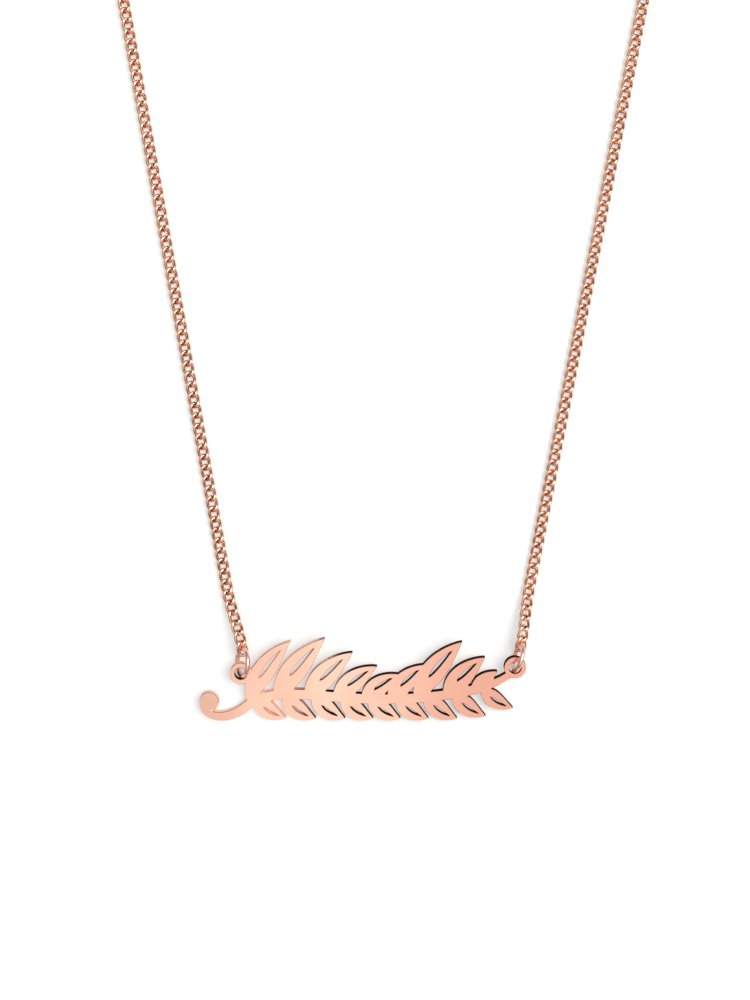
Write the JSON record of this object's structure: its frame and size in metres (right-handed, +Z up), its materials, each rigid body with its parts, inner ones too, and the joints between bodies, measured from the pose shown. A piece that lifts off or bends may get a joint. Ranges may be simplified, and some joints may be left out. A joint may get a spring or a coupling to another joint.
{
  "type": "nameplate necklace",
  "caption": "Rose-gold plated necklace laid flat: a pierced leaf-spray nameplate hung by jump rings on a closed curb chain with a spring-ring clasp.",
  "frame": {"origin": "on the surface that the necklace lies on, under the middle of its outline's box", "axes": "+Y from the nameplate along the necklace to the clasp, +X along the nameplate from the curl to the right eyelet, +Z up from the surface"},
  "size_m": [0.0856, 0.191, 0.0039],
  "materials": {
    "plate_metal": "mirror-polished rose-gold plating on sterling silver, with dark reflections in the cut edges",
    "ring_metal": "polished round rose-gold plated wire",
    "chain_metal": "polished rose-gold plated curb links, darker between the links",
    "clasp_metal": "polished rose-gold plated tube"
  },
  "bodies": {
    "root": {"nameplate": "plate_metal", "jump_ring_left": "ring_metal", "jump_ring_right": "ring_metal", "chain_left": "chain_metal", "chain_right": "chain_metal", "clasp": "clasp_metal", "clasp_ring": "ring_metal", "closure_ring": "ring_metal"}
  },
  "joints": []
}
